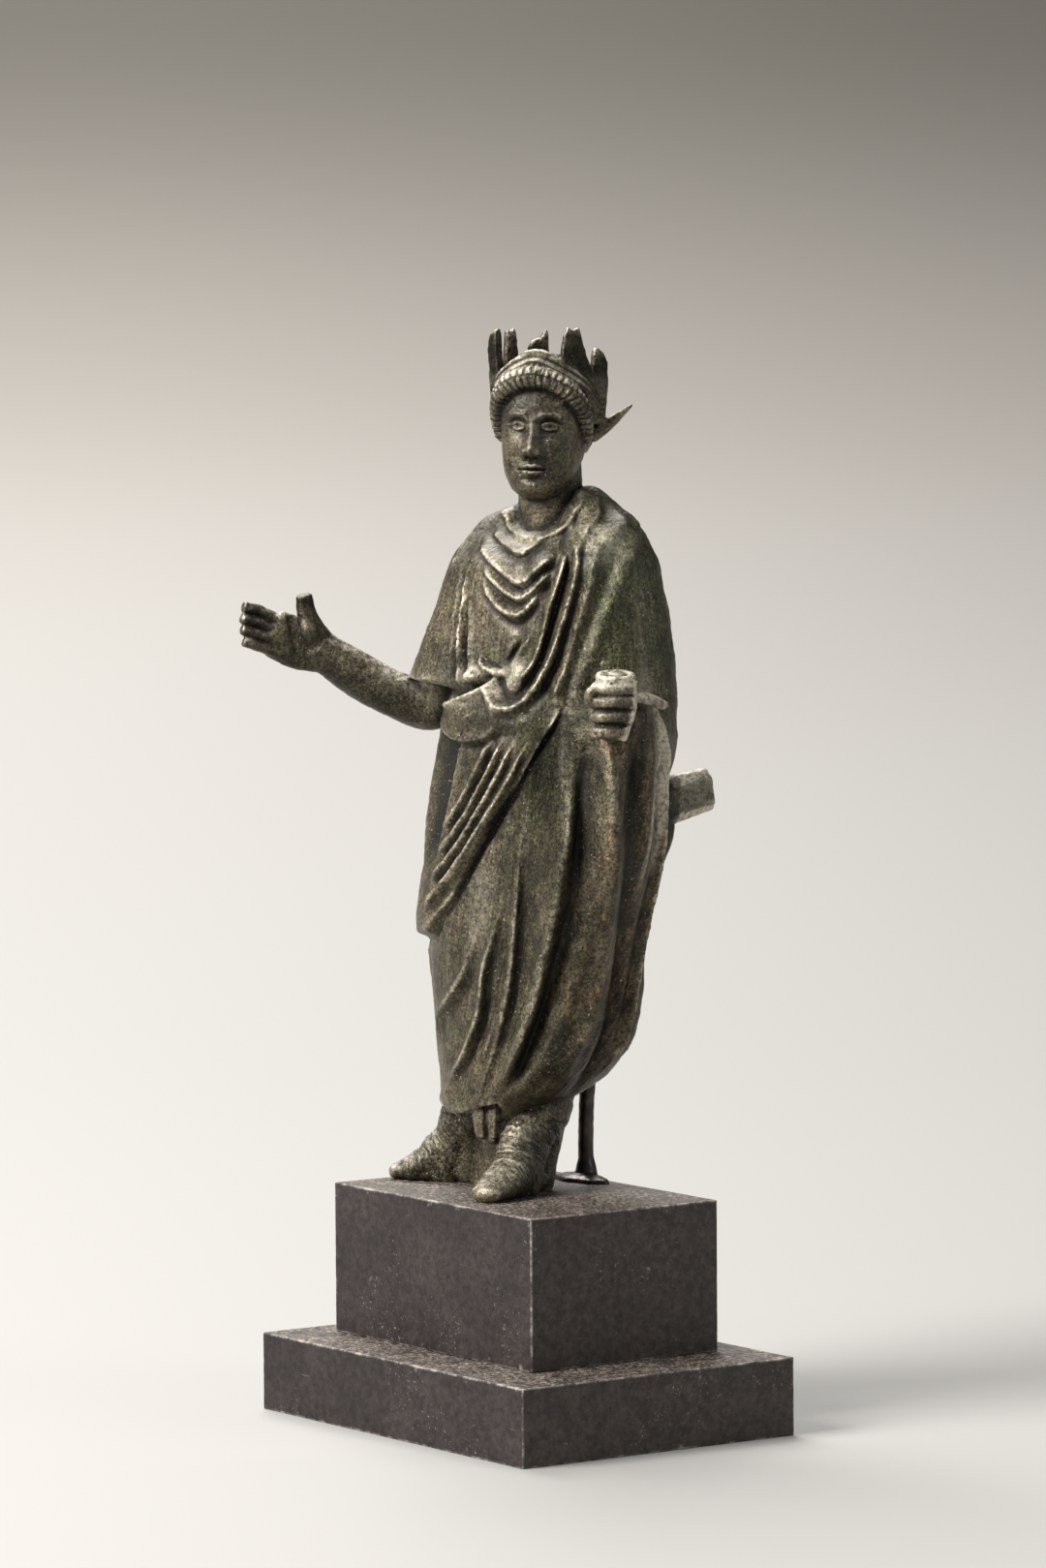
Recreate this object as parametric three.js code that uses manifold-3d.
import * as THREE from 'three';
import { mergeVertices } from 'three/addons/utils/BufferGeometryUtils.js';
import Module from 'manifold-3d';

const wasm = await Module();
wasm.setup();

// Millimetres. The origin is at the bottom centre of the lower slab, +Z is up
// and the wide front of the base faces -Y. Angles round the figure are degrees,
// measured from the front (-Y) towards +X, the figure's left.

// Base
const SLAB_WIDTH = 76.44;
const SLAB_DEPTH = 54.91;
const SLAB_HEIGHT = 13.07;
const BLOCK_WIDTH = 57.6;
const BLOCK_DEPTH = 37.93;
const BLOCK_HEIGHT = 25.4;
const BLOCK_SHIFT_X = -3.03;
const BLOCK_SHIFT_Y = 2.1;
const EDGE_BEVEL = 0.4;
const SOLE = SLAB_HEIGHT + BLOCK_HEIGHT;

// Mount rod
const ROD_RADIUS = 1.3;
const ROD_FOOT_LENGTH = 12;
const ROD_FOOT_WIDTH = 7;
const ROD_FOOT_HEIGHT = 1.8;
const ROD_FOOT_SHIFT = -1;

// Draped body. Heights are above the soles.
const BODY_TOP = 117.6;
const BODY_COLUMNS = 53;
const BODY_ROWS = 36;
const COLUMN_CENTRE = 30;
const COLUMN_PACKING = 0.1;
const ROW_PACKING = [[0, 0], [0.45, 0.58], [1, 1]];
const SECTION_POWER = 2.25;
const MM_PER_DEGREE = 0.33;

// Head
const HEAD_CENTRE = [-4.5, 8.2, 127];
const HEAD_TURN = 40;
const HEAD_PITCH = 2;
const HEAD_ROLL = 1.5;
const HEAD_POWER = 2.3;
const RAY_THICKNESS = 1.4;

// The view plane of the reaching arm, which lies flat to the viewer.
const ARM_PLANE_TURN = 54.86;
const RIGHT_ARM_OFFSET = -19;
const FIST_SIDE = 15.1;
const FIST_OFFSET = 21.5;

const BRONZE = { color: 0x5b5342, roughness: 0.5, metalness: 0.85 };
const BLACK_WOOD = { color: 0x3a3432, roughness: 0.6, metalness: 0 };
const BLACK_METAL = { color: 0x24211f, roughness: 0.55, metalness: 0.6 };

const rad = THREE.MathUtils.degToRad;
const clamp = THREE.MathUtils.clamp;

// Degrees brought into -180..180.
const wrap = (angle) => THREE.MathUtils.euclideanModulo(angle + 180, 360) - 180;

// Straight interpolation in rows of [x, y].
function between(x, rows) {
  if (x <= rows[0][0]) return rows[0][1];
  for (let i = 1; i < rows.length; i += 1) {
    const [x1, y1] = rows[i];
    const [x0, y0] = rows[i - 1];
    if (x <= x1) return y0 + ((y1 - y0) * (x - x0)) / (x1 - x0);
  }
  return rows[rows.length - 1][1];
}

// Smooth interpolation of every column of a table whose first column is x.
function smoothRow(x, table) {
  let i = 0;
  while (i < table.length - 2 && x > table[i + 1][0]) i += 1;
  const [a, b] = [table[i], table[i + 1]];
  const before = table[Math.max(i - 1, 0)];
  const after = table[Math.min(i + 2, table.length - 1)];
  const span = b[0] - a[0];
  const t = clamp((x - a[0]) / span, 0, 1);
  return a.map((y, k) => {
    const slopeA = (b[k] - before[k]) / (b[0] - before[0]);
    const slopeB = (after[k] - y) / (after[0] - a[0]);
    const rise = y * (1 + 2 * t) * (1 - t) ** 2 + b[k] * t * t * (3 - 2 * t);
    return rise + span * t * (1 - t) * (slopeA * (1 - t) - slopeB * t);
  });
}

// Smooth curve through equally spaced control rows, t from 0 to 1.
function along(rows, t) {
  const s = clamp(t, 0, 1) * (rows.length - 1);
  const i = Math.min(Math.floor(s), rows.length - 2);
  const f = s - i;
  const [p1, p2] = [rows[i], rows[i + 1]];
  return p1.map((v, k) => {
    const p0 = i > 0 ? rows[i - 1][k] : 2 * v - p2[k];
    const p3 = i < rows.length - 2 ? rows[i + 2][k] : 2 * p2[k] - v;
    const bend = 2 * p0 - 5 * v + 4 * p2[k] - p3;
    const twist = 3 * v - p0 - 3 * p2[k] + p3;
    return 0.5 * (2 * v + (p2[k] - p0) * f + bend * f * f + twist * f ** 3);
  });
}

// A closed skin over a form: form(u, v) gives a point, u runs round, v from pole to pole.
function skin(form, columns, rows) {
  const positions = [];
  for (let j = 1; j < rows; j += 1) {
    for (let i = 0; i < columns; i += 1) positions.push(...form(i / columns, j / rows));
  }
  positions.push(...form(0, 0), ...form(0, 1));
  const [low, high] = [(rows - 1) * columns, (rows - 1) * columns + 1];
  const index = [];
  for (let i = 0; i < columns; i += 1) {
    const next = (i + 1) % columns;
    index.push(low, next, i, high, low - columns + i, low - columns + next);
    for (let j = 0; j < rows - 2; j += 1) {
      const [a, b] = [j * columns + i, j * columns + next];
      index.push(a, b, b + columns, a, b + columns, a + columns);
    }
  }
  const geometry = new THREE.BufferGeometry();
  geometry.setAttribute('position', new THREE.Float32BufferAttribute(positions, 3));
  geometry.setIndex(index);
  return geometry;
}

// Signed volume of a closed geometry, to see which way its faces look.
function volume(geometry) {
  const p = geometry.attributes.position;
  const { array } = geometry.index;
  const [a, b, c] = [new THREE.Vector3(), new THREE.Vector3(), new THREE.Vector3()];
  let sum = 0;
  for (let i = 0; i < array.length; i += 3) {
    a.fromBufferAttribute(p, array[i]);
    b.fromBufferAttribute(p, array[i + 1]);
    c.fromBufferAttribute(p, array[i + 2]);
    sum += a.dot(b.cross(c)) / 6;
  }
  return sum;
}

// A solid that can be joined and cut, always facing outwards.
function solid(source) {
  source.deleteAttribute('normal');
  source.deleteAttribute('uv');
  const geometry = mergeVertices(source);
  const triVerts = new Uint32Array(geometry.index.array);
  if (volume(geometry) < 0) triVerts.reverse();
  const vertProperties = new Float32Array(geometry.attributes.position.array);
  return new wasm.Manifold(new wasm.Mesh({ numProp: 3, vertProperties, triVerts }));
}

// The drawable geometry of a joined solid.
function toGeometry(body) {
  const mesh = body.getMesh();
  const geometry = new THREE.BufferGeometry();
  geometry.setAttribute('position', new THREE.BufferAttribute(mesh.vertProperties, 3));
  geometry.setIndex(new THREE.BufferAttribute(mesh.triVerts, 1));
  geometry.computeVertexNormals();
  return geometry;
}

// A round-ended limb. Path rows are points, radius rows are [along side, across].
// With a bevel its section is a rectangle with cut corners.
function limb(path, radii, side, options = {}) {
  const { columns = 12, rows = 10, cap = 0.14, power = 2, flat = 1, bevel = 0 } = options;
  const sideways = new THREE.Vector3(...side);
  const form = (u, v) => {
    const start = clamp(1 - v / cap, 0, 1);
    const end = clamp((v - 1 + cap) / cap, 0, 1);
    const turn = Math.max(start, end) * (Math.PI / 2);
    const t = clamp((v - cap) / (1 - 2 * cap), 0, 1);
    const centre = new THREE.Vector3(...along(path, t));
    const [ra, rb] = along(radii, t);
    const ahead = new THREE.Vector3(...along(path, t + 0.01));
    const forward = ahead.sub(new THREE.Vector3(...along(path, t - 0.01))).normalize();
    const a = sideways.clone().addScaledVector(forward, -sideways.dot(forward)).normalize();
    const b = forward.clone().cross(a);
    const [c, s] = [Math.cos(u * 2 * Math.PI), Math.sin(u * 2 * Math.PI)];
    const round = (Math.abs(c) ** power + Math.abs(s) ** power) ** (-1 / power);
    const cut = (ra * Math.abs(c) + rb * Math.abs(s)) / (ra + rb - bevel);
    const swell = bevel > 0 ? 1 / Math.max(Math.abs(c), Math.abs(s), cut) : round;
    const shrink = Math.cos(turn) * swell;
    const reach = Math.sin(turn) * Math.min(ra, rb) * flat * (end > 0 ? 1 : -1);
    centre.addScaledVector(a, c * ra * shrink).addScaledVector(b, s * rb * shrink);
    return centre.addScaledVector(forward, reach).toArray();
  };
  return solid(skin(form, columns, rows));
}

// Draped body: height, axis x and y, reach to right, left, front and back, turn.
const BODY = [
  [10.5, -8.8, 4.2, 8.5, 7.0, 8.0, 7.0, 0],
  [14.0, -8.6, 4.5, 12.5, 9.0, 12.0, 9.0, 0],
  [17.0, -8.2, 4.8, 13.2, 13.5, 12.3, 11.0, 1],
  [24.5, -7.8, 5.2, 15.0, 19.0, 13.0, 12.0, 2],
  [38.0, -7.2, 6.0, 17.5, 21.5, 14.2, 13.3, 4],
  [47.0, -6.8, 6.6, 19.5, 23.0, 14.8, 13.5, 5],
  [60.0, -6.3, 7.5, 20.0, 25.5, 14.6, 13.5, 6],
  [77.0, -6.0, 9.0, 18.0, 25.0, 13.6, 13.5, 10],
  [94.0, -5.3, 9.8, 17.0, 22.5, 12.0, 13.0, 13],
  [105.0, -5.0, 9.9, 18.8, 20.6, 11.2, 12.4, 13],
  [108.4, -5.0, 9.8, 17.0, 18.5, 9.2, 11.6, 13],
  [112.0, -5.0, 9.7, 12.6, 15.0, 6.2, 9.6, 13],
  [115.0, -4.8, 9.7, 6.6, 10.8, 5.6, 7.6, 13],
  [117.6, -4.6, 9.6, 5.8, 6.9, 5.5, 6.2, 13],
];

// Broad swellings of the cloth: direction, half width, and [height, depth] rows.
const SWELLINGS = [
  { at: -57, wide: 30, depth: [[84, 0], [85.5, 8.2], [94, 5.5], [101, 2.2], [108, 0.5], [112, 0]] },
  { at: 76, wide: 21, depth: [[14, 0], [30, 4], [45, 6.5], [60, 8.5], [74, 9.5], [79, 8.5], [84, 0]] },
  { at: 130, wide: 30, depth: [[15, 0], [24, 2.8], [60, 3.2], [77, 3], [94, 1.6], [108, 0]] },
  { at: -28, wide: 26, depth: [[40, 0], [46, 1], [58, 0.4], [70, 0]] },
  { at: 24, wide: 40, depth: [[106, 0], [108.4, -0.6], [110.2, -0.9], [112, 0]] },
  { at: 118, wide: 30, depth: [[103, 0], [108, 0.7], [113, 1.4], [117, 1.7], [118, 1.7]] },
  { at: -45, wide: 22, depth: [[101, 0], [106, -1.1], [109, -0.6], [112, 0]] },
  { at: -55, wide: 20, depth: [[54, 0], [62, 0.8], [72, 1.2], [78, 1], [83, 0]] },
  { at: 135, wide: 42, depth: [[17, 0], [42, -2], [60, -1.4], [69, -2], [77, -1], [105, -0.6], [112, 0]] },
];

// Soft dents and lumps: direction, height, half width, half height, depth.
const DENTS = [
  [4, 80.5, 22, 3.8, 1.6], [21, 79.6, 9, 2.4, 1.2], [-20, 79.4, 20, 3, 1.5],
  [17, 86.8, 8, 2.8, -1.1], [1, 89, 6, 2.4, -1.2],
];

// Edges round the body, as [direction, height]: hem, neck opening and the toga over the skirt.
const HEM = [
  [-180, 17], [-120, 14.8], [-30, 14.7], [-5, 13.2], [22, 14.6], [39, 15.4], [45, 13],
  [60, 12.2], [78, 12.8], [95, 14.9], [110, 18], [125, 20.5], [150, 20], [180, 17],
];
const NECK_EDGE = [
  [-180, 116.3], [-120, 115.4], [-60, 114.6], [-28, 113.5], [-10, 111.5], [17, 110.2],
  [46, 110.2], [67, 111.7], [79, 114.4], [95, 117], [120, 117.6], [150, 117.2], [180, 116.3],
];
const TOGA_EDGE = [[-110, 52], [-75, 45], [-45, 42.4], [-23, 43.4], [-2, 50], [42, 69], [62, 82]];
const TOGA_THICKNESS = 1.8;

// Where cloth lies back: [height, direction] of the edge, and how deep.
const LAP_SIDE = [[50, -30], [57.3, -23], [65.1, -20.8], [71.6, -19.1], [78, -15]];
const LAP_RECESS = 2.2;
const FALL_EDGE = [[36, 110], [49.5, 108], [61.4, 100], [74.3, 98], [84, 97]];
const FALL_DROP = [[34, 0], [42, 1], [49, 2], [62, 2.9], [71, 1.7], [77, 0.6], [84, 0]];

// Guide lines of the folds, as [direction, height].
const NECKLINE = [
  [-60, 114.3], [-28, 113.2], [-10, 111.2], [17, 109.9], [46, 109.9], [67, 111.4], [80, 114.2],
];
const CHEST_HIGH = [[-26, 109.4], [-4, 106.4], [15, 103.9], [33, 102.1], [45, 105], [60, 108]];
const CHEST_LOW = [[-14, 102.8], [0, 98.9], [17, 96.4], [33, 97.3], [46, 100.3]];
const COLLAR = [[-150, 112.5], [-100, 113.6], [-65, 112.6], [-48, 107.5], [-42, 103]];
const SHOULDER_IN = [[80, 113.4], [64, 107], [54, 101.4], [48, 97.5], [45, 93.5], [41, 89], [32, 86]];
const SHOULDER_MAIN = [
  [97, 114.8], [73, 109.3], [66.6, 102.2], [61.2, 96.3], [55.6, 91], [51, 87], [45, 84.7],
  [36, 82.4], [27, 81.6], [16, 82.3], [7, 84.4], [1, 86.4], [-3, 88.2],
];
const SHOULDER_OUT = [[112, 114], [81, 108.4], [73.3, 101], [67.5, 94.4], [63, 88.5], [56, 83.6]];
const SHOULDER_LAST = [[124, 114], [98, 108], [86, 101], [78, 94], [72, 88], [66, 83]];
const POUCH_ROLL = [[-45, 81.3], [-30.7, 82.2], [-12, 83.8], [-2, 85.6], [-8, 87.2]];
const POUCH_EDGE = [[-44, 79.6], [-38, 77.2], [-24, 75.8], [-8, 75.4], [6.5, 76], [22, 77.8]];
const POUCH_LOBE = [[14, 82], [24.5, 78.9], [35, 78.1], [44, 80.4], [51, 84]];
const LAP_HIGH = [[20, 76.8], [8, 70.3], [-2, 65.4], [-16, 60.5]];
const LAP_LOW = [[46, 77], [35, 69], [15, 59.8], [-5, 52.4], [-24, 47]];
const SKIRT_LEFT = [[66.5, 71], [65, 63.7], [63.2, 56], [61.6, 46], [58.4, 34.3], [53, 26.5], [43, 19]];
const SKIRT_MID = [[47, 66], [46.7, 58], [46.6, 49.4], [46.4, 40], [43, 31.4], [35, 23.4], [24, 16.8]];
const SKIRT_RIGHT = [[42, 53], [33, 44], [27, 37.7], [24.6, 31], [12.4, 24.4], [-2, 20.6], [-14, 18]];
const SKIRT_SIDE = [[22, 45.6], [14, 40.4], [7, 36.4], [-7, 32.8], [-24, 29.4], [-36, 25]];
const FALL_VALLEY = [[70, 78], [69, 66], [70.2, 55], [69, 44], [65.7, 34.5], [58, 24], [49, 18]];
const FALL_FRONT = [[74, 76], [76, 66], [78.5, 55], [81, 42.7], [81.7, 32.8], [77, 20]];
const FALL_HOLLOW = [[86, 80], [84, 66], [88, 52], [94, 38], [95, 28], [92, 18]];
const FALL_BACK = [[97, 82], [98, 70], [101, 58], [107, 42], [107, 30], [104, 20]];
const SLEEVE_FIRST = [[-35, 103], [-31.5, 98], [-29.5, 94.5], [-27, 90], [-25, 84.5]];
const SLEEVE_SECOND = [[-26, 103], [-22.5, 97], [-19.5, 92.5], [-17, 89], [-14, 84.5]];
const BACK_HIGH = [[128, 110], [150, 105], [180, 98], [212, 90], [250, 80], [285, 70]];
const BACK_LOW = [[124, 82], [145, 75], [175, 67], [210, 58], [245, 50], [275, 45]];
const DROP_LEFT = [[121, 78], [122, 68], [123, 55], [123, 42], [121, 30], [117, 22]];
const DROP_RIGHT = [[300, 42], [298, 37], [297, 32], [296, 27], [295, 22], [294, 17]];

const FOLD_STEPS = 10;
const FOLD_SPREAD = 1.25;

// Evenly spaced points of one fold, a share of the way from one guide to another.
function foldLine(from, to, share) {
  const line = [];
  for (let i = 0; i <= FOLD_STEPS; i += 1) {
    const t = i / FOLD_STEPS;
    const [a, b] = [along(from, t), along(to, t)];
    line.push([a[0] + (b[0] - a[0]) * share, a[1] + (b[1] - a[1]) * share]);
  }
  return line;
}

// Folds spread evenly from one guide line to the other.
function foldFamily(from, to, count, width, depth, skip = 0) {
  const folds = [];
  for (let i = skip; i < count; i += 1) {
    folds.push({ line: foldLine(from, to, i / (count - 1)), width, depth });
  }
  return folds;
}

const single = (guide, width, depth) => ({ line: foldLine(guide, guide, 0), width, depth });

const FOLDS = [
  single(NECKLINE, 0.9, 0.9),
  single(COLLAR, 1.0, 1.0),
  ...foldFamily(CHEST_HIGH, CHEST_LOW, 3, 1.1, 1.2),
  single(SHOULDER_IN, 1.0, 1.2),
  single(SHOULDER_MAIN, 1.0, 1.9),
  single(SHOULDER_OUT, 1.1, 1.0),
  single(SHOULDER_LAST, 1.3, 0.6),
  single(POUCH_ROLL, 0.9, 1.3),
  single(POUCH_EDGE, 0.9, 1.3),
  single(POUCH_LOBE, 0.9, 1.1),
  ...foldFamily(LAP_HIGH, LAP_LOW, 4, 1.0, 1.1),
  single(SKIRT_LEFT, 1.3, 1.7),
  single(SKIRT_MID, 1.3, 1.4),
  single(SKIRT_RIGHT, 1.2, 1.3),
  single(SKIRT_SIDE, 1.2, 1.2),
  single(FALL_VALLEY, 1.2, -1.8),
  single(FALL_FRONT, 1.1, 1.2),
  single(FALL_HOLLOW, 1.4, -2.0),
  single(FALL_BACK, 0.8, 1.7),
  single(SLEEVE_FIRST, 0.8, -1.7),
  single(SLEEVE_SECOND, 0.8, -1.7),
  ...foldFamily(BACK_HIGH, BACK_LOW, 5, 1.6, 1.1),
  ...foldFamily(DROP_LEFT, DROP_RIGHT, 8, 1.6, 1.1),
];

// Distance from a place on the cloth to a fold, and how far along the fold it is.
function toFold(direction, height, line) {
  let nearest = Infinity;
  let share = 0;
  for (let i = 0; i < line.length - 1; i += 1) {
    const x = wrap(direction - line[i][0]) * MM_PER_DEGREE;
    const y = height - line[i][1];
    const dx = wrap(line[i + 1][0] - line[i][0]) * MM_PER_DEGREE;
    const dy = line[i + 1][1] - line[i][1];
    const t = clamp((x * dx + y * dy) / (dx * dx + dy * dy), 0, 1);
    const distance = Math.hypot(x - t * dx, y - t * dy);
    if (distance < nearest) {
      nearest = distance;
      share = (i + t) / (line.length - 1);
    }
  }
  return [nearest, share];
}

// Height of one fold over the cloth: a ridge with a shallow valley on each side.
function foldHeight(direction, height, { line, width, depth }) {
  const [distance, share] = toFold(direction, height, line);
  const x = distance / (width * FOLD_SPREAD);
  const fade = 0.3 + 0.7 * clamp(share / 0.12, 0, 1) * clamp((1 - share) / 0.12, 0, 1);
  return depth * fade * (1.35 * Math.exp(-x * x) - 0.35 * Math.exp(-((x / 2.2) ** 2)));
}

// The toga's lower edge stands off the skirt and thins out upwards.
function togaHeight(direction, height) {
  const turn = wrap(direction);
  const on = clamp((turn + 112) / 20, 0, 1) * clamp((66 - turn) / 8, 0, 1);
  const s = (height - between(turn, TOGA_EDGE)) * 0.75;
  return (on * TOGA_THICKNESS * Math.exp(-Math.max(s, 0) / 8)) / (1 + Math.exp(-s / 0.22));
}

// Smooth step from 0 at low to 1 at high.
function step(low, high, x) {
  const t = clamp((x - low) / (high - low), 0, 1);
  return t * t * (3 - 2 * t);
}

// How far the cloth lies back behind the lap's right edge and behind the hanging fall.
function recess(direction, height) {
  const turn = wrap(direction);
  const lap = turn - between(height, LAP_SIDE);
  const fall = turn - between(height, FALL_EDGE);
  const lapTall = step(52, 60, height) * step(79.5, 77.5, height);
  const behindLap = step(0.8, -2.2, lap) * step(-32, -14, lap) * lapTall;
  const behindFall = step(0.6, 4.5, fall) * step(179, 152, turn);
  return LAP_RECESS * behindLap + between(height, FALL_DROP) * behindFall;
}

// Distance from the body's axis to its skin.
function bodyReach(direction, height, row) {
  const [, , , right, left, front, back, turn] = row;
  const a = rad(wrap(direction - turn));
  const [s, c] = [Math.sin(a), Math.cos(a)];
  const across = Math.abs(s / (s > 0 ? left : right)) ** SECTION_POWER;
  const deep = Math.abs(c / (c > 0 ? front : back)) ** SECTION_POWER;
  let reach = (across + deep) ** (-1 / SECTION_POWER);
  for (const { at, wide, depth } of SWELLINGS) {
    reach += between(height, depth) * Math.exp(-((wrap(direction - at) / wide) ** 2));
  }
  let relief = togaHeight(direction, height) - recess(direction, height);
  for (const [at, level, wide, tall, depth] of DENTS) {
    relief += depth * Math.exp(-((wrap(direction - at) / wide) ** 2) - ((height - level) / tall) ** 2);
  }
  for (const fold of FOLDS) relief += foldHeight(direction, height, fold);
  return reach + relief * clamp((BODY_TOP + 1 - height) / 3, 0, 1);
}

// The draped body, closed under the hem and at the neck.
function bodySolid() {
  const UNDER = 2 / BODY_ROWS;
  const OVER = 2 / BODY_ROWS;
  const axisTop = BODY[BODY.length - 1];
  const form = (u, v) => {
    const turn = u - 0.5;
    const packed = turn - COLUMN_PACKING * Math.sin(2 * Math.PI * turn);
    const direction = COLUMN_CENTRE + 360 * packed;
    const t = between((v - UNDER) / (1 - UNDER - OVER), ROW_PACKING);
    const hem = between(wrap(direction), HEM);
    const height = hem + (between(wrap(direction), NECK_EDGE) - hem) * t;
    const row = smoothRow(height, BODY);
    const under = clamp(1 - v / UNDER, 0, 1);
    const over = clamp((v - 1 + OVER) / OVER, 0, 1);
    if (under === 1) return [BODY[1][1], BODY[1][2], SOLE + HEM[0][1] + 0.5];
    if (over === 1) return [axisTop[1], axisTop[2], SOLE + NECK_EDGE[5][1] - 0.2];
    const inset = under > 0 ? 0.92 * (1 - under) ** 0.8 : 1 - over;
    const reach = bodyReach(direction, height, row) * inset;
    const [s, c] = [Math.sin(rad(direction)), Math.cos(rad(direction))];
    const lift = under > 0 ? 0.5 + 3.5 * (1 - (1 - under) ** 2) : -0.6 * over;
    return [row[1] + reach * s, row[2] - reach * c, SOLE + height + lift];
  };
  return solid(skin(form, BODY_COLUMNS, BODY_ROWS));
}

// A point from the head's own axes: to its left, forwards and up.
function headPoint(side, forward, up) {
  const turn = new THREE.Euler(rad(-HEAD_PITCH), rad(HEAD_ROLL), rad(HEAD_TURN), 'ZYX');
  const p = new THREE.Vector3(side, -forward, up).applyEuler(turn);
  return [p.x + HEAD_CENTRE[0], p.y + HEAD_CENTRE[1], p.z + HEAD_CENTRE[2] + SOLE];
}

const headAxis = (side, forward, up) => {
  const [a, b] = [headPoint(side, forward, up), headPoint(0, 0, 0)];
  return [a[0] - b[0], a[1] - b[1], a[2] - b[2]];
};

// Skull and jaw: level, half width, front and back. Hair in the same way.
const SKULL = [
  [-10.9, 2.6, 5.4, -1.0], [-9.8, 4.1, 6.6, 0.5], [-7.4, 5.6, 7.1, 3.0], [-4.6, 6.5, 7.2, 6.2],
  [-1.6, 6.9, 7.3, 7.8], [5.0, 7.1, 7.2, 8.6], [8.0, 6.5, 6.3, 7.8], [12.2, 2.2, 2.0, 3.0],
];
const HAIR = [
  [-3.4, 6.3, -1.2, 7.6], [-1.0, 7.3, 0.2, 8.9], [2.0, 7.9, 1.6, 9.5], [5.0, 8.1, 4.5, 9.6],
  [7.5, 7.8, 6.6, 9.2], [9.6, 6.9, 6.4, 8.2], [12.8, 2.6, 2.2, 3.4],
];
const HEAD_CAP = 0.5;

// A rounded form stacked up along the head's own upright axis.
function headForm(table, columns, rows) {
  const low = table[0][0];
  const high = table[table.length - 1][0];
  const form = (u, v) => {
    const level = low + (high - low) * (0.5 - 0.5 * Math.cos(Math.PI * v));
    const [, half, front, back] = smoothRow(level, table);
    if (v === 0) return headPoint(0, (front - back) / 2, low - HEAD_CAP);
    if (v === 1) return headPoint(0, (front - back) / 2, high + HEAD_CAP);
    const [s, c] = [Math.sin(u * 2 * Math.PI), Math.cos(u * 2 * Math.PI)];
    const k = (Math.abs(s) ** HEAD_POWER + Math.abs(c) ** HEAD_POWER) ** (-1 / HEAD_POWER);
    return headPoint(half * s * k, (front - back) / 2 + ((front + back) / 2) * c * k, level);
  };
  return solid(skin(form, columns, rows));
}

// A band that runs from temple to temple over the brow.
function browBand(side, back, low, bend, front, brow, top, radii, columns) {
  const path = [];
  for (const s of [-1, 1]) {
    const half = [[s * side, back, low], [s * bend[0], bend[1], bend[2]], [s * front, brow[0], brow[1]]];
    path.push(...(s < 0 ? half : half.reverse()));
  }
  path.splice(3, 0, [0, top[0], top[1]]);
  const points = path.map((p) => headPoint(...p));
  const options = { columns, rows: 10, cap: 0.1 };
  return limb(points, [...radii, ...radii.slice(0, 3).reverse()], headAxis(0, 0, 1), options);
}

// A flat plate between two copies of an outline, half its thickness to each side.
function plate(outline, place, through) {
  const flat = outline.map(([x, y]) => new THREE.Vector2(x, y));
  const count = flat.length;
  const positions = [];
  for (const side of [-0.5, 0.5]) {
    for (const [s, level] of outline) {
      const p = place(s, level);
      positions.push(p[0] + through[0] * side, p[1] + through[1] * side, p[2] + through[2] * side);
    }
  }
  const index = [];
  for (const [a, b, c] of THREE.ShapeUtils.triangulateShape(flat, [])) {
    index.push(a, c, b, a + count, b + count, c + count);
  }
  for (let i = 0; i < count; i += 1) {
    const next = (i + 1) % count;
    index.push(i, next, next + count, i, next + count, i + count);
  }
  const geometry = new THREE.BufferGeometry();
  geometry.setAttribute('position', new THREE.Float32BufferAttribute(positions, 3));
  geometry.setIndex(index);
  return solid(geometry);
}

// One broken ray of the crown. It leans outwards by flare and its face turns by twist.
function crownRay({ at, out, flare, twist, outline }) {
  const [a, b] = [rad(at), rad(at + twist)];
  const lean = Math.tan(rad(flare));
  const place = (s, level) => {
    const reach = out + (level - outline[0][1]) * lean;
    const side = reach * Math.sin(a) + s * Math.cos(b);
    return headPoint(side, reach * Math.cos(a) - s * Math.sin(b) - 1.2, level);
  };
  const face = headAxis(Math.sin(b), Math.cos(b), 0);
  return plate(outline, place, face.map((x) => x * RAY_THICKNESS));
}

// Outlines are [sideways, level], anticlockwise from the root.
const RAYS = [
  {
    at: -78, out: 8.0, flare: 4, twist: 38,
    outline: [[-1.5, 3], [1.9, 3], [1.5, 9], [1.1, 14], [1.2, 17], [0.1, 16.8], [-0.9, 16],
      [-1.6, 13.8], [-1.7, 8]],
  },
  {
    at: -118, out: 7.8, flare: 2, twist: 0,
    outline: [[-3.2, 4], [0.4, 4], [0.9, 11], [1.3, 16.8], [0.5, 16.6], [-0.4, 17.3], [-0.6, 15],
      [-1.6, 9.5]],
  },
  {
    at: -156, out: 7.8, flare: 2, twist: 0,
    outline: [[-2, 4.5], [1.6, 4.5], [1.9, 12.5], [2.2, 13.8], [1.5, 15.2], [0.2, 15.6],
      [-0.9, 17.2], [-1.3, 16.6], [-1.5, 12.8]],
  },
  {
    at: 58, out: 7.1, flare: 3, twist: 0,
    outline: [[-3.3, 4], [4.2, 4], [3, 9.5], [0.5, 13], [-0.9, 17.6], [-1.9, 17], [-2.6, 17.3],
      [-3, 11]],
  },
  {
    at: 98, out: 8.6, flare: 2, twist: -42,
    outline: [[-1.9, 1.5], [1.9, 1.5], [1.9, 8.5], [1.5, 12], [0.5, 13.6], [-0.7, 14.2],
      [-1.4, 14], [-1.9, 8.5]],
  },
];

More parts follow.
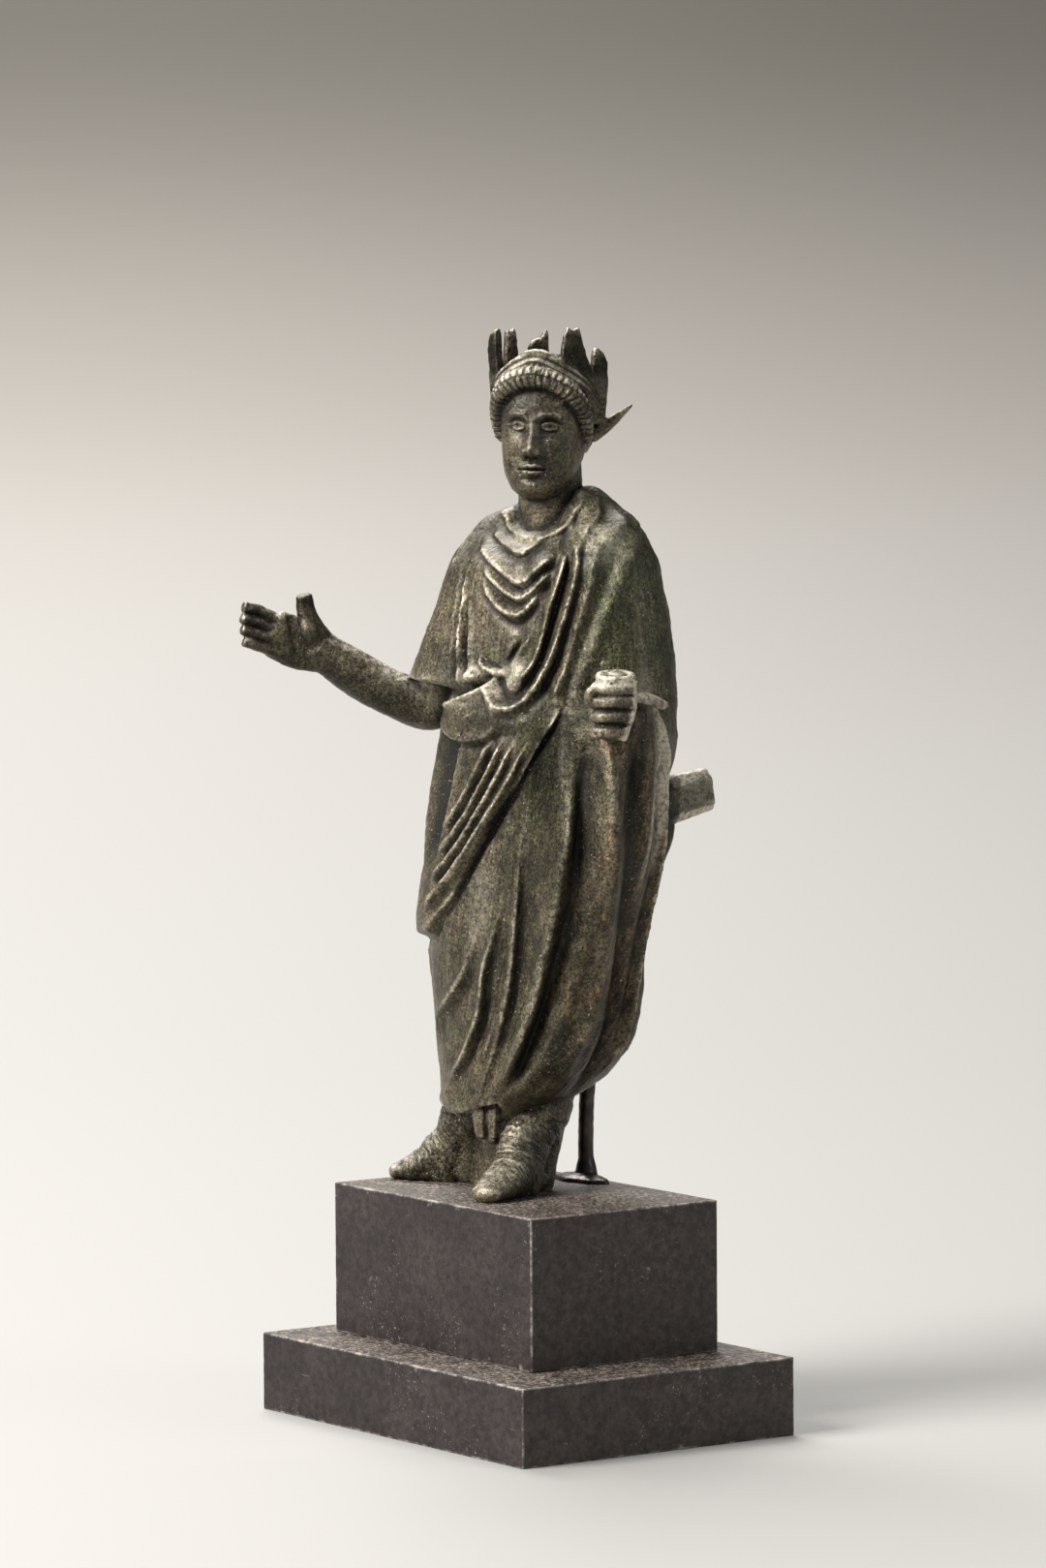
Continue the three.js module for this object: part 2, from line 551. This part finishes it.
// Head, hair, diadem, crown and neck.
function headPieces() {
  const fringe = [[1.0, 1.1], [1.35, 1.3], [1.6, 1.4], [1.75, 1.5]];
  const diadem = [[1.0, 0.9], [1.3, 0.9], [1.5, 1.0], [1.9, 1.0]];
  const ribbon = [headPoint(7.2, -3.6, -0.2), headPoint(10, -4.2, 1.6), headPoint(13.8, -4.6, 4.8)];
  const throat = [[-4.7, 9.8, SOLE + 107], [-4.6, 9.7, SOLE + 113], [-4.6, 9.3, SOLE + 121]];
  return [
    headForm(SKULL, 14, 10),
    headForm(HAIR, 14, 8),
    browBand(7.3, -0.4, -1, [7.4, 2.4, 3.4], 5.2, [6.1, 7.3], [7.6, 9.2], fringe, 8),
    browBand(8.3, -2, 4.4, [6.9, 3, 8], 3.4, [5.7, 10.6], [6.2, 11.9], diadem, 8),
    limb(ribbon, [[1.5, 0.8], [1.1, 0.7], [0.25, 0.3]], headAxis(0, 0, 1), { columns: 6, rows: 6 }),
    limb(throat, [[5.5, 5.5], [5.4, 5.4], [5.4, 5.4]], headAxis(1, 0, 0), { columns: 12, rows: 4 }),
    ...RAYS.map(crownRay),
  ];
}

// A point from the viewer's plane: sideways, towards the viewer, and height over the soles.
function viewPoint(side, near, height) {
  const [s, c] = [Math.sin(rad(ARM_PLANE_TURN)), Math.cos(rad(ARM_PLANE_TURN))];
  return [c * side + s * near, s * side - c * near, SOLE + height];
}

const UP = [0, 0, 1];
const ACROSS = [Math.cos(rad(ARM_PLANE_TURN)), Math.sin(rad(ARM_PLANE_TURN)), 0];

// The bare right arm with its open hand.
function rightArmPieces() {
  const near = RIGHT_ARM_OFFSET;
  const at = (side, height, forward = 0) => viewPoint(side, near + forward, height);
  const arm = [
    [-17, 6, SOLE + 101], viewPoint(-12.5, near + 2, 90),
    at(-14.4, 81), at(-21.5, 82.6), at(-27.5, 85.9), at(-33.5, 89.9),
  ];
  const armSize = [[4.2, 4], [4.4, 4.2], [4.3, 4.2], [3.9, 3.8], [3.8, 3.4], [3.4, 2.6]];
  const palm = [at(-32.5, 89.4), at(-36.8, 90.9, -0.2), at(-41.4, 92.9)];
  const thumb = [at(-33.8, 91.4), at(-35.7, 95.4, 0.9), at(-36.4, 99.3, 1.4)];
  const blunt = { columns: 8, rows: 4, cap: 0.25, flat: 0.25 };
  const palmSide = [0.35 * ACROSS[0], 0.35 * ACROSS[1], 0.94];
  const pieces = [
    limb(arm, armSize, UP, { columns: 10, rows: 10, cap: 0.1 }),
    limb(palm, [[3.4, 2.2], [4.2, 1.8], [4.1, 1.6]], palmSide, { columns: 10, rows: 7, cap: 0.2 }),
    limb(thumb, [[2.5, 2], [1.8, 1.6], [1.35, 1.3]], ACROSS, blunt),
  ];
  for (let i = 0; i < 4; i += 1) {
    const root = 94.6 - 2 * i;
    const inward = 0.35 * Math.abs(i - 1.5);
    const finger = [
      at(-39.6 + 0.35 * i, root),
      at(-43.6 + 0.2 * i, root + 2.1 - 0.1 * i, 0.5),
      at(-47.2 + inward, 97.6 - 1.95 * i, 1.8),
    ];
    pieces.push(limb(finger, [[1.3, 1.3], [1.25, 1.25], [1.2, 1.1]], UP, blunt));
  }
  return pieces;
}

// The covered left forearm with its closed fist round a short roll.
function leftArmPieces() {
  const at = (side, height, forward = 0) => viewPoint(FIST_SIDE + side, FIST_OFFSET + forward, height);
  const forearm = [[14, 14.5, SOLE + 82.8], [20.5, 8, SOLE + 82.4], viewPoint(15.9, 18.5, 83.8)];
  const palm = [at(0, 79.6, -0.4), at(0, 83, -0.4), at(0, 86.6, -0.4)];
  const thumb = [at(-2.8, 83.2, 1), at(-3.7, 84.8, 1.2), at(-2.6, 86.2, 2)];
  const roll = [at(0.2, 85.6), at(0.3, 87), at(0.4, 88.6)];
  const hole = [at(0.4, 87.6), at(0.4, 88.8), at(0.4, 90.4)];
  const cuff = [at(2.6, 84.8, 0.2), at(5.2, 84.4, -2), at(8, 83.2, -5)];
  const rollSize = [[3.1, 3.1], [3.3, 3.3], [3.4, 3.4]];
  const holeSize = [[2.1, 2.1], [2.1, 2.1], [2.1, 2.1]];
  const rolled = limb(roll, rollSize, ACROSS, { columns: 10, rows: 5, cap: 0.2, flat: 0.12 });
  const hollow = limb(hole, holeSize, ACROSS, { columns: 8, rows: 3, cap: 0.34, flat: 0 });
  const pieces = [
    limb(forearm, [[4, 4.2], [3, 3.4], [2.2, 2.2]], UP, { columns: 10, rows: 6, cap: 0.17 }),
    limb(palm, [[2.7, 2.5], [3.2, 2.6], [3.2, 2.6]], ACROSS, { columns: 10, rows: 5, cap: 0.2, power: 2.6 }),
    limb(thumb, [[0.8, 0.8], [1, 1], [0.8, 0.8]], UP, { columns: 6, rows: 4, cap: 0.25 }),
    limb(cuff, [[0.8, 1], [0.9, 1.2], [0.7, 0.9]], UP, { columns: 6, rows: 5 }),
    rolled.subtract(hollow),
  ];
  for (const [height, half] of [[79.2, 2], [81.65, 2.4], [84.05, 2.5], [86.35, 2.3]]) {
    const finger = [
      at(-half, height, 0.3), at(-half / 2, height, 1.2),
      at(half / 2, height, 1.3), at(half, height + 0.15, 0.4),
    ];
    pieces.push(limb(finger, finger.map(() => [1.22, 1.9]), UP, { columns: 8, rows: 5, cap: 0.2 }));
  }
  return pieces;
}

// A soft boot: one form bends from the toe up to the calf, one is the sole.
function bootPieces({ heel, toe, calf, scale, ankle }) {
  const along2 = (t, height) => [
    heel[0] + (toe[0] - heel[0]) * t, heel[1] + (toe[1] - heel[1]) * t, SOLE + height,
  ];
  const length = Math.hypot(toe[0] - heel[0], toe[1] - heel[1]);
  const across = [-(toe[1] - heel[1]) / length, (toe[0] - heel[0]) / length, 0];
  const upper = [
    along2(0.93, 1.4), along2(0.72, 2.3), along2(0.48, 4), along2(ankle, 8.4),
    [calf[0], calf[1], SOLE + 14], [calf[0], calf[1], SOLE + 20],
  ];
  const size = [[2.6, 1.5], [3.6, 2.5], [3.6, 4], [3.6, 4.2], [4.5, 4.6], [5, 5.2]];
  const back = [along2(0.13, 1.6), along2(0.1, 5), along2(0.07, 10), [calf[0], calf[1], SOLE + 17]];
  const backSize = [[3, 2.8], [3.2, 3.2], [4, 4], [4.6, 4.6]];
  const side = [along2(0.4, 1.6), along2(0.3, 6), along2(0.2, 11)];
  const sideSize = [[3.4, 3.4], [3.5, 3.6], [4.2, 4.2]];
  const sole = [along2(0.1, 2.2), along2(0.4, 1.6), along2(0.75, 1.2)];
  const soleSize = [[2.7, 2.4], [3.1, 1.8], [3.1, 1.4]];
  return [
    limb(upper, size.map(([a, b]) => [a * scale, b * scale]), across, { columns: 10, rows: 10, cap: 0.1 }),
    limb(back, backSize, across, { columns: 8, rows: 6 }),
    limb(side, sideSize, across, { columns: 8, rows: 4, cap: 0.25 }),
    limb(sole, soleSize, across, { columns: 8, rows: 5, cap: 0.2 }),
  ];
}

const BOOTS = [
  { heel: [-17.1, 3.5], toe: [-30, -6.4], calf: [-14.6, 2.6], scale: 0.95, ankle: 0.2 },
  { heel: [-3.7, 6.9], toe: [5.5, -12.5], calf: [-1.4, 5], scale: 1.05, ankle: 0.34 },
];

// Feet, the cloth between them and the two cloth tips that hang there.
function footPieces() {
  const web = [[-9.6, 3.8, SOLE], [-9.4, 3.8, SOLE + 8], [-8.8, 4, SOLE + 18]];
  const tips = [
    [viewPoint(-7.3, -2.4, 17), viewPoint(-7.1, -1.6, 13), viewPoint(-6.9, -1.5, 10.4)],
    [viewPoint(-5.2, -2.4, 17), viewPoint(-5.1, -1.2, 13), viewPoint(-5, -1.2, 10.2)],
  ];
  const tipSize = [[1.5, 2.2], [1.3, 1.9], [1, 1.4]];
  return [
    ...BOOTS.flatMap(bootPieces),
    limb(web, [[9.2, 4.6], [8.4, 4.4], [8, 6]], [1, 0, 0], { columns: 8, rows: 4, cap: 0.25 }),
    ...tips.map((tip) => limb(tip, tipSize, ACROSS, { columns: 6, rows: 5, cap: 0.2 })),
  ];
}

// The bevelled bar cast at the back, which the rod holds.
function lugSolid() {
  const path = [[8, 12, SOLE + 62.6], [8, 22, SOLE + 64.7], [8, 32.6, SOLE + 66.8]];
  const size = [[4.1, 2.2], [4, 2.2], [3.6, 2.2]];
  return limb(path, size, UP, { columns: 16, rows: 5, cap: 0.2, flat: 0.25, bevel: 1.3 });
}

// Centre line of the rod: upright, then slanting behind the cloth to the lug.
const ROD_PATH = [
  [-7.9, 18.4, 0], [-7.9, 18.4, 8], [-7.8, 18.9, 17], [-7.2, 20.7, 26], [-5, 22.5, 35],
  [-1.8, 23.2, 43.5], [2.2, 23.6, 50.7], [5.4, 24.1, 55.5], [7.9, 24, 59.6], [8, 24, 63.5],
];

// The rod with the low spread lump it is set in.
function rodSolid() {
  const path = ROD_PATH.map(([x, y, height]) => [x, y, SOLE + height]);
  const radii = path.map(() => [ROD_RADIUS, ROD_RADIUS]);
  const upright = limb(path, radii, [1, 0.2, 0], { columns: 8, rows: 15, cap: 0.0667, flat: 0 });
  const [x, y] = [ROD_PATH[0][0], ROD_PATH[0][1] + ROD_FOOT_SHIFT];
  const spread = [[x, y, SOLE], [x, y, SOLE + ROD_FOOT_HEIGHT * 0.6], [x, y, SOLE + ROD_FOOT_HEIGHT]];
  const [a, b] = [ROD_FOOT_LENGTH / 2, ROD_FOOT_WIDTH / 2];
  const size = [[a, b], [a * 0.9, b * 0.9], [a * 0.45, b * 0.55]];
  return upright.add(limb(spread, size, [1, 0, 0], { columns: 12, rows: 5, cap: 0.2, flat: 0 }));
}

// A block with rounded corners and fine bevels, standing on a level.
function baseBlock(width, depth, height) {
  const [w, d] = [width / 2 - EDGE_BEVEL, depth / 2 - EDGE_BEVEL];
  const outline = new THREE.Shape();
  outline.moveTo(-w, -d).lineTo(w, -d).lineTo(w, d).lineTo(-w, d).closePath();
  return new THREE.ExtrudeGeometry(outline, {
    depth: height - 2 * EDGE_BEVEL,
    bevelThickness: EDGE_BEVEL,
    bevelSize: EDGE_BEVEL,
    bevelSegments: 2,
    curveSegments: 1,
  }).translate(0, 0, EDGE_BEVEL);
}

// Everything below the soles, cut away so that the boots stand flat.
function belowSoles() {
  const height = SLAB_HEIGHT;
  return solid(new THREE.BoxGeometry(SLAB_WIDTH, SLAB_DEPTH, height)
    .translate(0, 0, SOLE - height / 2));
}

function mesh(name, geometry, finish) {
  const piece = new THREE.Mesh(geometry, new THREE.MeshStandardMaterial(finish));
  piece.name = name;
  return piece;
}

const join = (pieces) => pieces.reduce((whole, piece) => whole.add(piece));

const figure = join([
  bodySolid(),
  ...footPieces(),
  ...leftArmPieces(),
  ...rightArmPieces(),
  ...headPieces(),
  lugSolid(),
]).subtract(belowSoles());
const rod = rodSolid().subtract(figure);

const slab = mesh('lower_slab', baseBlock(SLAB_WIDTH, SLAB_DEPTH, SLAB_HEIGHT), BLACK_WOOD);
const block = mesh('upper_block', baseBlock(BLOCK_WIDTH, BLOCK_DEPTH, BLOCK_HEIGHT), BLACK_WOOD);
block.position.set(BLOCK_SHIFT_X, BLOCK_SHIFT_Y, SLAB_HEIGHT);

const group = new THREE.Group();
group.name = 'roman_emperor_statue';
group.add(
  slab,
  block,
  mesh('mount_rod', toGeometry(rod), BLACK_METAL),
  mesh('bronze_figure', toGeometry(figure), BRONZE),
);

export default group;
